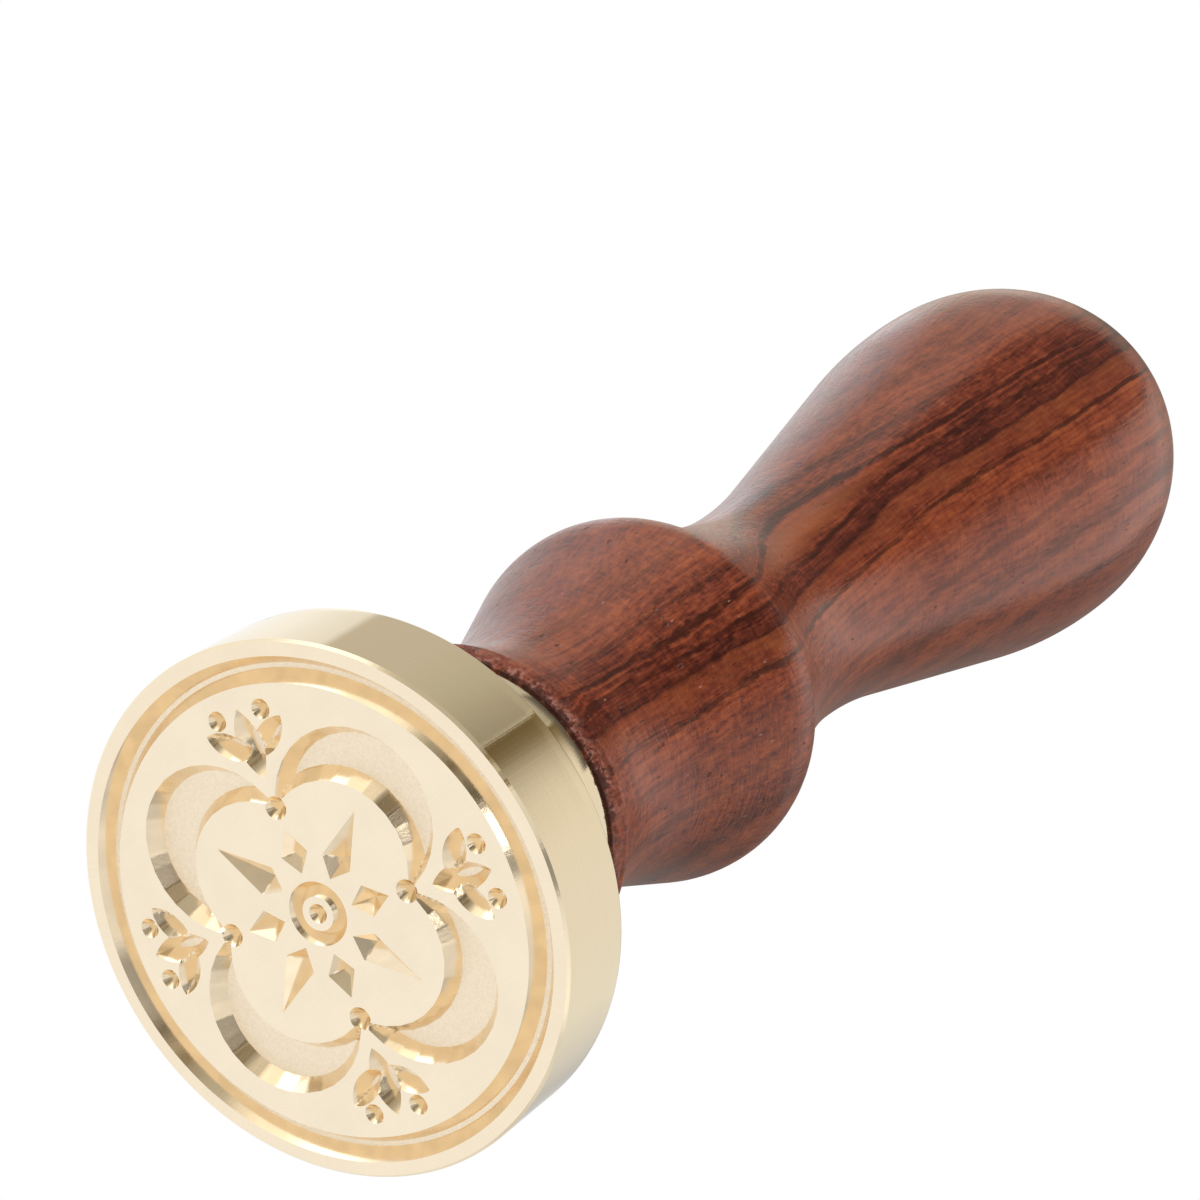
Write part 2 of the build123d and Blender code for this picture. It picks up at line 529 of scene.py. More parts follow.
def cutReach(x, y):
    # distance inside the nearest cut, measured along the face; negative on the lands
    o = ornament
    radius = np.hypot(x, y)
    angle = np.abs(np.mod(np.arctan2(y, x) + pi / 4, pi / 2) - pi / 4)  # one eighth stands for all
    px, py = radius * np.cos(angle), radius * np.sin(angle)
    slant = (px + py) / sqrt(2), np.abs(py - px) / sqrt(2)  # along and across the diagonal
    outX, outR = lobeCircle(o["lobeReach"])
    inX, inR = lobeCircle(o["lobeReach"] - o["lobeWidth"])
    outside = roundCut(px, py, outX, 0, outR, o["lobeFlats"])
    inside = roundCut(px, py, inX, 0, inR, o["lobeFlats"])
    return np.maximum.reduce([
        np.minimum(o["borderOutside"] - radius, radius - o["borderInside"]),
        np.minimum(o["eyeOutside"] - radius, radius - o["eyeInside"]),
        o["dimple"] - radius,
        np.minimum(outside, -inside),
        rayCut(px, py, o["rayLong"], 0),
        rayCut(px, py, o["rayShort"], pi / 4),
        roundCut(*slant, o["cuspReach"], 0, o["cuspDot"], o["dotFlats"]),
        leafCut(*slant, *o["leaf"]),
        leafCut(*slant, *o["sideLeaf"]),
        roundCut(*slant, *o["berryPlace"], o["berry"], o["dotFlats"]),
    ])


def cutDepth(x, y):
    return np.clip(cutReach(x, y) / wallSlope, 0, sealHead["cutDepth"])


def faceRings():
    # radii of the rings on the seal face, with one on each edge that is a full circle
    o = ornament
    stops = [  # radius of an edge, and the step of the rings beyond it
        (0.0, 0.08),
        (o["dimple"], 0.05),
        (o["eyeInside"], 0.055),
        ((o["eyeInside"] + o["eyeOutside"]) / 2, 0.055),
        (o["eyeOutside"], 0.062),
        (o["borderInside"], 0.1),
        (o["borderInside"] + wallRun, 0.11),
        (o["borderOutside"] - wallRun, 0.1),
        (o["borderOutside"], 0.15),
    ]
    ends = [radius for radius, _ in stops[1:]] + [headRadius - sealHead["edge"]]
    radii = []
    for (start, step), end in zip(stops, ends):
        count = max(1, round((end - start) / step))
        radii += [start + (end - start) * (i + 1) / count for i in range(count)]
    return np.array(radii)


def snapToEdges(x, y, radii, columns):
    # slides points along the face onto the top and bottom edges of the cuts
    small = 1e-3  # mm, step for measuring slopes, and how near is on the edge
    least = 0.1  # square of the slope under which there is no clear way to the edge
    gap = np.gradient(radii)[:, None]
    across = (radii * 2 * pi / columns)[:, None]
    radius = np.hypot(x, y)
    unitX, unitY = x / radius, y / radius
    free = np.ones(x.shape, dtype=bool)
    free[-1] = False
    for target in (0.0, wallRun):
        for _ in range(2):
            reach = cutReach(x, y)
            slopeX = (cutReach(x + small, y) - cutReach(x - small, y)) / (2 * small)
            slopeY = (cutReach(x, y + small) - cutReach(x, y - small)) / (2 * small)
            steep = np.maximum(slopeX**2 + slopeY**2, small)
            moveX = (target - reach) * slopeX / steep
            moveY = (target - reach) * slopeY / steep
            outward = np.abs(moveX * unitX + moveY * unitY)
            around = np.abs(moveY * unitX - moveX * unitY)
            near = free & (outward < gap / 2) & (around < across / 2) & (steep > least)
            x = np.where(near, x + moveX, x)
            y = np.where(near, y + moveY, y)
        free &= np.abs(cutReach(x, y) - target) > small
    return x, y


def sealFace(columns):
    radii = faceRings()
    angle = columnAngles(columns)
    x, y = radii[:, None] * np.cos(angle), radii[:, None] * np.sin(angle)
    x, y = snapToEdges(x, y, radii, columns)
    z = cutDepth(x, y)
    z[-1] = 0
    centre = float(cutDepth(np.array([0.0]), np.array([0.0]))[0])
    points = np.vstack([[[0, 0, centre]], np.stack([x, y, z], axis=-1).reshape(-1, 3)])
    quads = ringFaces(len(radii), columns, 1)
    corner = points[quads]
    middle = corner.mean(axis=1)
    true = cutDepth(middle[:, 0], middle[:, 1])
    offA = np.abs((corner[:, 0, 2] + corner[:, 2, 2]) / 2 - true)
    offB = np.abs((corner[:, 1, 2] + corner[:, 3, 2]) / 2 - true)
    pick = (offA <= offB)[:, None]  # split each quad along the diagonal that lies nearer the cut
    one = np.where(pick, quads[:, [0, 1, 2]], quads[:, [0, 1, 3]])
    two = np.where(pick, quads[:, [0, 2, 3]], quads[:, [1, 2, 3]])
    triangles = np.vstack([poleFaces(0, 1, columns, True), one, two])
    height = points[triangles][:, :, 2]
    onLand = height.max(axis=1) < sealHead["level"]
    onFloor = height.min(axis=1) > sealHead["cutDepth"] - sealHead["level"]
    kinds = np.where(onLand, 0, np.where(onFloor, 1, 2))  # land, floor, wall
    return points, triangles, kinds


def headProfile():
    h = sealHead
    edge, thick, fillet = h["edge"], h["thickness"], h["fillet"]
    boss, bossEdge = h["bossRadius"], h["bossEdge"]
    hole, mouth = h["holeRadius"], h["holeMouth"]
    low = headTop - h["holeDepth"]
    tip = low - hole / tan(radians(h["drillAngle"] / 2))
    short = 0.05  # the last ring stands just short of the drill's tip
    path = [(headRadius - edge, 0)]
    runTo(path, (headRadius, edge, 2), (headRadius, thick - edge, 7))
    arcTo(path, (headRadius - edge, thick - edge), edge, 0, pi / 2, 5)
    runTo(path, (boss + fillet, thick, 5))
    arcTo(path, (boss + fillet, thick + fillet), fillet, -pi / 2, -pi, 4)
    runTo(path, (boss, headTop - bossEdge, 6))
    arcTo(path, (boss - bossEdge, headTop - bossEdge), bossEdge, 0, pi / 2, 3)
    runTo(path, (hole + mouth, headTop, 4), (hole, headTop - mouth, 2), (hole, low, 4))
    runTo(path, (hole * short, tip + short * (low - tip), 5))
    return np.array(path), tip


def makeSealHead():
    columns = sealHead["columns"]
    points, triangles, kinds = sealFace(columns)
    profile, tip = headProfile()
    first = len(points) - columns  # the face's outer ring starts the turned part
    points = np.vstack([points, turnedRings(profile[1:], columns), [[0, 0, tip]]])
    quads = ringFaces(len(profile), columns, first)
    last = len(points) - 1
    end = poleFaces(last, last - columns, columns, False)
    faces = [*triangles, *quads, *end]
    indices = np.concatenate([kinds, np.full(len(quads) + len(end), 3)])
    finishes = [brassField(), brassFloor(), brassWall(), brassTurned()]
    sharp = sealHead["sharp"]
    return makePiece("sealHead", "head", "seal_head", points, faces, finishes, sharp, indices)


head = makeSealHead()
print("seal head", len(head.data.polygons), "faces")


# screw threads: a ridge wound round the axis, the same pitch on the stud and in the head
thread = {
    "pitch": 1.25,
    "outside": 3.98,
    "root": 3.28,
    "crestWidth": 0.17,
    "flank": 30.0,
    "play": 0.03,
    "headTurns": 4.6,
    "headFoot": 0.06,  # depth of the head's ridge in the wall of its hole
    "headCrest": 0.05,  # room between the head's ridge and the stud
    "leastGroove": 0.1,
    "stepsPerTurn": 72,
    "fadeSteps": 20,  # over which the ridge grows in at both ends
    "endHeight": 0.02,  # share of the ridge's height and width at its ends
    "endWidth": 0.3,
    "sharp": 40,  # degrees
}
flankSlope = tan(radians(thread["flank"]))


def windRidge(section, start):
    # sweeps a small closed section of radius and height along a helix, tapering it in at both ends
    t = thread
    count = int(t["headTurns"] * t["stepsPerTurn"]) + 1
    size = len(section)
    foot = section[0][0]
    points = []
    for i in range(count):
        angle = 2 * pi * i / t["stepsPerTurn"]
        rise = start + t["pitch"] * i / t["stepsPerTurn"]
        grown = min(1.0, i / t["fadeSteps"], (count - 1 - i) / t["fadeSteps"])
        share = grown * (1 - t["endHeight"]) + t["endHeight"]
        width = t["endWidth"] + (1 - t["endWidth"]) * share
        for radius, height in section:
            r = foot + (radius - foot) * share
            points.append((r * cos(angle), r * sin(angle), rise + height * width))
    faces = []
    for i in range(count - 1):
        for j in range(size):
            k = (j + 1) % size
            faces.append((i * size + j, i * size + k, (i + 1) * size + k, (i + 1) * size + j))
    faces.append(tuple(range(size - 1, -1, -1)))
    faces.append(tuple((count - 1) * size + j for j in range(size)))
    return np.array(points), faces


def makeHeadThread():
    t = thread
    outer, inner = sealHead["holeRadius"] + t["headFoot"], t["root"] + t["headCrest"]

    def half(radius):
        groove = t["crestWidth"] + 2 * (t["outside"] - radius) * flankSlope
        return (t["pitch"] - max(groove, t["leastGroove"]) - 2 * t["play"]) / 2

    section = [(outer, half(outer)), (outer, -half(outer)), (inner, -half(inner)), (inner, half(inner))]
    points, faces = windRidge(section, studFoot + t["pitch"] / 2)
    finishes = [bpy.data.materials["brass_turned"]]
    return makePiece("headThread", "head", "seal_head", points, faces, finishes, t["sharp"])


makeHeadThread()


# stud
stud = {
    "colour": srgb(196, 195, 190),
    "cloudColour": srgb(178, 180, 182),
    "cloud": ((0.8, 0.8, 0.8), 4, 0.6),
    "grain": ((9, 9, 9), 2, 0.6),
    "relief": 0.004,  # mm
    "rough": 0.32,
    "threadLength": 6.9,
    "chamfer": 0.8,
    "runout": 0.6,
    "shankLength": 2.1,
    "shankRings": 6,
    "woodRoot": 2.9,
    "woodPitch": 2.5,
    "woodCrest": 0.12,
    "woodEase": 0.8,  # over which the wood thread starts
    "woodStart": 0.12,  # from the shank to the next ring
    "tipGap": 0.05,  # least gap under the last ring
    "pointLength": 4.0,
    "pointRadius": 0.8,
    "ringsPerPitch": (18, 20),  # in the machine thread and in the wood thread
    "columns": 96,
}


def zincPlate():
    s = stud
    material, shader, place = newMaterial("zinc_plate")
    cloud = markNode(place, s["cloud"])
    grain = markNode(place, s["grain"])
    tone = mixColour(spread(cloud, 0.35, 0.65), s["colour"], s["cloudColour"])
    rough = spread(cloud, *noiseSpan, s["rough"] - 0.08, s["rough"] + 0.1)
    relief = bump(grain, s["relief"])
    setShader(shader, Base_Color=tone, Metallic=1.0, Roughness=rough, Normal=relief)
    return material


def makeStud():
    s, t = stud, thread
    columns, full = s["columns"], t["outside"]
    threadTop = studFoot + s["threadLength"]
    shankTop = threadTop + s["shankLength"]
    perPitch, woodPerPitch = s["ringsPerPitch"]
    heights = np.concatenate([
        np.arange(studFoot, threadTop, t["pitch"] / perPitch),
        np.linspace(threadTop, shankTop, s["shankRings"]),
        np.arange(shankTop + s["woodStart"], studTip - s["tipGap"], s["woodPitch"] / woodPerPitch),
        [studTip],
    ])
    z, turn = np.meshgrid(heights, columnAngles(columns), indexing="ij")

    def ridge(pitch, start, root, crest):
        phase = np.mod((z - start) / pitch - turn / (2 * pi) + 0.5, 1.0) - 0.5
        return np.clip(full - (np.abs(phase) * pitch - crest / 2) / flankSlope, root, full)

    machine = ridge(t["pitch"], studFoot, t["root"], t["crestWidth"])
    machine = np.minimum(machine, full - s["chamfer"] + (z - studFoot))
    runout = np.clip((z - threadTop + s["runout"]) / s["runout"], 0, 1)
    machine = machine + (full - machine) * runout
    wood = ridge(s["woodPitch"], shankTop, s["woodRoot"], s["woodCrest"])
    ease = np.clip((z - shankTop) / s["woodEase"], 0, 1)
    wood = full + (wood - full) * ease
    taper = s["pointRadius"] + (full - s["pointRadius"]) * (studTip - z) / s["pointLength"]
    wood = np.minimum(wood, np.maximum(taper, s["pointRadius"]))
    radius = np.where(z <= shankTop, machine, wood)
    rings = np.stack([radius * np.cos(turn), radius * np.sin(turn), z], axis=-1).reshape(-1, 3)
    points, faces = closedBody(rings, columns, studFoot, studTip)
    plate, sharp = [zincPlate()], t["sharp"]
    return makePiece("threadedStud", "stud", "threaded_stud", points, faces, plate, sharp)


makeStud()
print("threads and stud done")


# handle: places are radius and height above the end of the wood
handle = {
    "columns": 360,
    "sharp": 50,  # degrees
    "end": (8.4, 0.3),  # where the turned curve starts, above its small chamfer
    "lipFoot": 7.9,
    "lipTop": (8.16, 0.93),  # the torn edge runs up to this place on the curve
    "cove": (6.93, 6.1),
    "ball": (9.5, 17.3),
    "neck": (6.31, 30.9),
    "grip": (10.86, 63.6),
    # curves up to those places: fullness of the arcs, share of the first arc, step of the rings
    "coveCurve": (0.857, 0, 0.13),
    "ballCurve": (0.825, 0.767, 0.3),
    "neckCurve": (0.98, 0.129, 0.32),
    "gripCurve": (0.754, 0.5, 0.5),
    "domeCap": 0.8806,  # radius at the very end, as a share of the grip's
    "domeRings": (26, 18),
    "socketRadius": 4.05,
    "socketDepth": 17.0,
    "socketMouth": 0.5,
    "drillAngle": 118.0,
    "lipGap": 0.05,  # least height from the lip to the next ring
    "torn": 0.14,  # depth of the torn fibres at the brass end
    "tornHeight": 1.1,
    "tornFrom": 7.92,  # radius
    "tornFade": 1.2,
    "tornCoarse": (13, 1.3),  # how fine the tears are round the end and along the wood
    "tornFine": (52, 3.2),
    "tornFractal": (0.7, 2.0, 4),
    "tornMix": (0.9, 0.5, 0.1),  # share of the coarse and the fine tears, less a little
    "tornLimits": (-1.0, 0.4),
}


def turnedCurve(start, end, fullness, lead, step):
    # two arcs and the straight that touches both, from one widest or narrowest place to the next
    run, rise = end[1] - start[1], end[0] - start[0]
    radii = fullness * (run**2 + rise**2) / (2 * abs(rise))
    gap = radii - abs(rise)
    length = sqrt(run**2 + gap**2 - radii**2)
    slope = atan2(run, gap) - atan2(length, radii)
    side = copysign(1, rise)
    path = [start]
    first, second = lead * radii, (1 - lead) * radii
    steps = max(2, round(first * slope / step)) if lead else 0
    for i in range(1, steps + 1):
        turn = slope * i / steps
        path.append((start[0] + side * first * (1 - cos(turn)), start[1] + first * sin(turn)))
    r0, z0 = path[-1]
    runTo(path, (r0 + side * length * sin(slope), z0 + length * cos(slope), max(2, round(length / step))))
    steps = max(2, round(second * slope / step))
    for i in range(1, steps + 1):
        turn = slope * (1 - i / steps)
        path.append((end[0] - side * second * (1 - cos(turn)), end[1] - second * sin(turn)))
    return path[1:]


def handleProfile():
    h = handle
    length = woodTop - woodFoot
    socket, depth, mouth = h["socketRadius"], h["socketDepth"], h["socketMouth"]
    path = [(0, depth + socket / tan(radians(h["drillAngle"] / 2)))]
    runTo(path, (socket, depth, 4), (socket, mouth, 6), (socket + mouth, 0, 2), (h["lipFoot"], 0, 6))
    runTo(path, (*h["lipTop"], 9))
    above = h["lipTop"][1] + h["lipGap"]
    path += [p for p in turnedCurve(h["end"], h["cove"], *h["coveCurve"]) if p[1] > above]
    for start, end in (("cove", "ball"), ("ball", "neck"), ("neck", "grip")):
        path += turnedCurve(h[start], h[end], *h[end + "Curve"])
    wide, base = h["grip"]
    rise = length - base
    cap = h["domeCap"] * wide
    flank = (wide**2 + rise**2 - 2 * cap * rise) / (2 * (wide - cap))
    sweep = atan2(rise - cap, flank - wide)
    flankRings, capRings = h["domeRings"]
    arcTo(path, (wide - flank, base), flank, 0, sweep, flankRings)
    arcTo(path, (0, length - cap), cap, sweep, pi / 2, capRings)
    path[-1] = (0, length)
    return np.array(path)


def tearEnd(points):
    # fibres torn and raised where the tool ran off the end of the wood
    h = handle
    coarseShare, fineShare, less = h["tornMix"]
    deepest, highest = h["tornLimits"]
    radius = np.hypot(points[:, 0], points[:, 1])
    near = np.where((points[:, 2] < h["tornHeight"]) & (radius > h["tornFrom"]))[0]
    for i in near:
        x, y, z = points[i]
        turn = Vector((x, y, 0)) / radius[i]
        around, along = h["tornCoarse"]
        coarse = noise.fractal(turn * around + Vector((0, 0, z * along)), *h["tornFractal"])
        around, along = h["tornFine"]
        fine = noise.noise(turn * around + Vector((0, 0, z * along)))
        tear = min(highest, max(deepest, coarseShare * coarse + fineShare * fine - less))
        fade = (1 - z / h["tornHeight"]) ** h["tornFade"]
        scale = 1 + h["torn"] * fade * tear / radius[i]
        points[i] = x * scale, y * scale, max(z, 0.0)
    return points


# the handle's wood; heights are above the seal face, mm
rosewood = {
    "light": srgb(176, 92, 50),
    "ochre": srgb(158, 84, 46),
    "mid": srgb(138, 64, 38),
    "deep": srgb(98, 41, 27),
    "dark": srgb(60, 24, 15),
    "raw": srgb(186, 142, 130),
    "rough": 0.20,
    "ior": 1.47,
    "relief": 0.03,  # mm
    "across": (0.515, 0.857, 0.0),  # way through the growth layers, as the camera sees it
    "lean": (30.0, 54.0, -2.0),  # heights between which the layers shift, and by how much
    "wander": {"warp": 0.5, "ripple": 0.34},  # mm
    "lens": (43.0, 8.5, 1.4),  # height, reach and bulge of the pale lens between two lines
    "lensLayers": (-1.80, -1.55),
    "heart": (-0.9, 2.2, 5.0),  # middle of the streaky layers, and where they start and stop fading
    # bands: to a millimetre through the layers, detail, roughness
    "broadBands": (0.22, 2, 0.5),
    "bands": (0.8, 2, 0.55),
    "fineBands": (2.6, 3, 0.7),
    # growth lines: place through the layers mm, width mm, strength
    "lines": [
        (-5.6, 0.40, 0.30), (-3.5, 0.25, 0.40), (-2.1, 0.30, 0.90), (-1.2, 0.34, 0.95), (0.0, 0.22, 0.50),
        (0.25, 1.60, 0.40), (1.65, 0.32, 0.85), (3.6, 0.35, 0.35), (5.6, 0.50, 0.40), (7.6, 0.70, 0.60),
    ],
    # marks: features to a millimetre along each axis, detail, roughness
    "marks": {
        "warp": ((0.07, 0.07, 0.03), 2, 0.5),
        "ripple": ((0.4, 0.4, 0.11), 3, 0.55),
        "fibre": ((4.5, 4.5, 0.2), 4, 0.65),
        "streak": ((1.3, 1.3, 0.06), 3, 0.6),
        "ticks": ((1.5, 1.5, 2.6), 2, 0.6),
        "fleck": ((5.0, 5.0, 0.9), 3, 0.65),
        "mottle": ((0.5, 0.5, 0.3), 3, 0.6),
        "sanding": ((0.9, 0.9, 4.6), 3, 0.65),
        "skin": ((1.6, 1.6, 0.9), 3, 0.6),
        "shag": ((4.5, 4.5, 3.5), 4, 0.7),
        "clump": ((1.1, 1.1, 0.6), 2, 0.6),
    },
    # marks that fade up the neck: two heights, and the strength on the ball and on the grip
    "fades": {
        "fleck": (33, 45, 1.0, 0.3),
        "sanding": (33, 42, 0.9, 0.3),
        "skin": (33, 42, 1.7, 1.0),
        # pale dots painted as glints, fewer up the neck
        "paintedGlints": (33, 45, 0.5, 0.12),
        "pits": (33, 40, 1, 0),
    },
    # share of each mark in the colour and in the relief
    "colourShares": {
        "bands": 0.45, "fibre": 0.5, "streak": 0.3, "ticks": 0.3,
        "fleck": 0.4, "mottle": 0.4, "sanding": 0.3,
    },
    "reliefShares": {"skin": 0.6, "ticks": 0.5, "fleck": 0.8, "sanding": 1.4, "pits": -2.0, "tears": 4.0},
    "toneSpan": (0.805, 1.465),  # sum of the shares that is dark, and that is light
    "toneStops": [(0.0, "dark"), (0.24, "deep"), (0.52, "mid"), (1.0, "light")],
    "rawStops": [(0.36, "dark"), (0.48, "mid"), (0.66, "raw")],
    # dots: cells to a millimetre, size of a dot in its cell, and the cells that have one
    "pores": ((2.8, 2.8, 0.7), 0.08, 0.16),
    "darkPick": (0.72, 0.74),
    # the cells whose pale dot is a painted glint
    "glintPick": (0.90, 0.92),
    "pits": ((1.1, 1.1, 0.7), 0.06, 0.17),
    "pitPick": (0.70, 0.72),
    "lipShade": (0.02, 0.32),  # above the end of the wood, where the shade at its foot fades out
    "lipRaw": (0.50, 0.80),  # and where the raw fibre does
    "lipWander": {"shag": 0.2, "clump": 0.3},  # mm
    "tornSide": (0.504, -0.684, -0.527),  # where the lip is torn most, as the camera sees it
    "tornSpan": (4.4, 7.4),  # mm towards that side, from little torn to torn
}


def distanceTo(place, direction):
    # millimetres towards a direction that the camera sees
    return vectorNode("DOT_PRODUCT", place, seen(*direction).normalized() * (1 / mm))


def growthLayers(place, height, marks):
    # nearly flat sheets that shift sideways up the handle, wander a little and bulge round a lens
    w = rosewood
    low, high, shift = w["lean"]
    layer = minus(distanceTo(place, w["across"]), spread(height, low, high, 0, shift))
    for name, reach in w["wander"].items():
        layer = plus(layer, spread(marks[name], 0.2, 0.8, -reach, reach, False))
    middle, reach, bulge = w["lens"]
    outer, inner = w["lensLayers"]
    off = mathNode("DIVIDE", minus(height, middle), reach)
    swell = mathNode("EXPONENT", times(times(off, off), -1.0))
    swell = times(swell, bulge)
    squeeze = mathNode("DIVIDE", swell, plus(swell, inner - outer))
    inside = times(minus(inner, layer), squeeze)
    inside = mathNode("MINIMUM", mathNode("MAXIMUM", inside, 0.0), swell)
    depth = mathNode("DIVIDE", inside, mathNode("MAXIMUM", swell, 0.02))
    lens = times(times(depth, minus(1.0, depth)), swell)
    return plus(layer, inside), lens


def woodTone(layer, lens, marks):
    w = rosewood
    # the heart's layers are streakier than the rest
    centre, near, far = w["heart"]
    heart = spread(mathNode("ABSOLUTE", minus(layer, centre)), near, far, 1, 0)
    value = times(lineNoise(layer, *w["broadBands"]), 0.35)
    value = minus(value, times(heart, 0.06))
    fine = lineNoise(layer, *w["fineBands"])
    sharp = times(fine, spread(heart, 0, 1, 0.25, 0.75, False))
    value = plus(value, minus(sharp, spread(heart, 0, 1, 0.125, 0.375, False)))
    parts = {**marks, "bands": lineNoise(layer, *w["bands"])}
    value = addShares(value, [(parts[name], share) for name, share in w["colourShares"].items()])
    value = spread(value, *w["toneSpan"], smooth=False)
    tone = ramp(value, [(stop, w[name]) for stop, name in w["toneStops"]])
    tone = mixColour(mathNode("MULTIPLY", lens, 2.6, True), tone, w["ochre"])
    # dark growth lines that thin out and break up along the wood
    broken = spread(marks["streak"], 0.36, 0.54, 0.40, 1)
    feather = spread(marks["fibre"], 0.25, 0.75, -0.14, 0.14, False)
    for centre, width, strength in w["lines"]:
        off = plus(mathNode("ABSOLUTE", minus(layer, centre)), feather)
        line = times(spread(off, 0.15 * width, width, strength, 0), broken)
        tone = mixColour(line, tone, w["dark"])
    return tone


def tornLip(place, height, marks):
    # the lip above the brass: where raw fibre shows, and where its foot is shaded
    w = rosewood
    shadeEnds = [woodFoot + rise for rise in w["lipShade"]]
    rawEnds = [woodFoot + rise for rise in w["lipRaw"]]
    ragged = height
    for name, reach in w["lipWander"].items():
        ragged = plus(ragged, spread(marks[name], *noiseSpan, -reach, reach, False))
    side = spread(distanceTo(place, w["tornSide"]), *w["tornSpan"], 0.15, 1)
    raw = times(spread(ragged, *rawEnds, 1, 0), side)
    return raw, spread(ragged, *shadeEnds, 0.9, 0)


def rosewoodFinish():
    w = rosewood
    material, shader, place = newMaterial("rosewood")
    height = times(joinNode("ShaderNodeSeparateXYZ", {"Vector": place}).outputs["Z"], 1 / mm)
    marks = {name: markNode(place, mark) for name, mark in w["marks"].items()}
    fades = {name: spread(height, *fade) for name, fade in w["fades"].items()}
    for name in ("fleck", "sanding"):
        marks[name] = times(minus(marks[name], 0.5), fades[name])
    marks["skin"] = times(marks["skin"], fades["skin"])
    layer, lens = growthLayers(place, height, marks)
    tone = woodTone(layer, lens, marks)
    # pores: short dark dashes along the grain, and a few pale dots, painted glints
    dots, pick = cellDots(place, *w["pores"])
    darkPores = times(dots, spread(pick["Red"], *w["darkPick"]))
    paintedGlints = times(dots, spread(pick["Green"], *w["glintPick"]))
    tone = mixColour(times(darkPores, 0.7), tone, w["dark"])
    tone = mixColour(times(paintedGlints, fades["paintedGlints"]), tone, w["raw"])
    # raw fibre on the torn lip, shade at its foot, and a few pits on the ball
    raw, shade = tornLip(place, height, marks)
    fibreTone = ramp(marks["shag"], [(stop, w[name]) for stop, name in w["rawStops"]])
    tone = mixColour(times(raw, 0.7), tone, fibreTone)
    tone = mixColour(shade, tone, w["dark"])
    dents, pick = cellDots(place, *w["pits"])
    pits = times(times(dents, spread(pick["Red"], *w["pitPick"])), fades["pits"])
    tone = mixColour(times(pits, 0.6), tone, w["dark"])
    rough = plus(spread(marks["fibre"], *noiseSpan, -0.05, 0.07), w["rough"])
    rough = mathNode("ADD", rough, times(raw, 0.35), True)
    # relief: open grain, short sanding marks, pits and the torn end
    relief = minus(times(marks["fibre"], 0.35), times(darkPores, 0.6))
    parts = {**marks, "pits": pits, "tears": times(raw, marks["shag"])}
    relief = addShares(relief, [(parts[name], share) for name, share in w["reliefShares"].items()])
    relief = bump(relief, w["relief"])
    setShader(shader, Base_Color=tone, Roughness=rough, IOR=w["ior"], Normal=relief)
    return material


def makeHandle():
    columns = handle["columns"]
    profile = handleProfile()
    points, faces = closedBody(turnedRings(profile[1:-1], columns), columns, profile[0, 1], profile[-1, 1])
    points = tearEnd(points)
    points[:, 2] += woodFoot
    wood, sharp = [rosewoodFinish()], handle["sharp"]
    return makePiece("turnedHandle", "handle", "handle", points, faces, wood, sharp)


grip = makeHandle()
print("handle", len(grip.data.polygons), "faces")


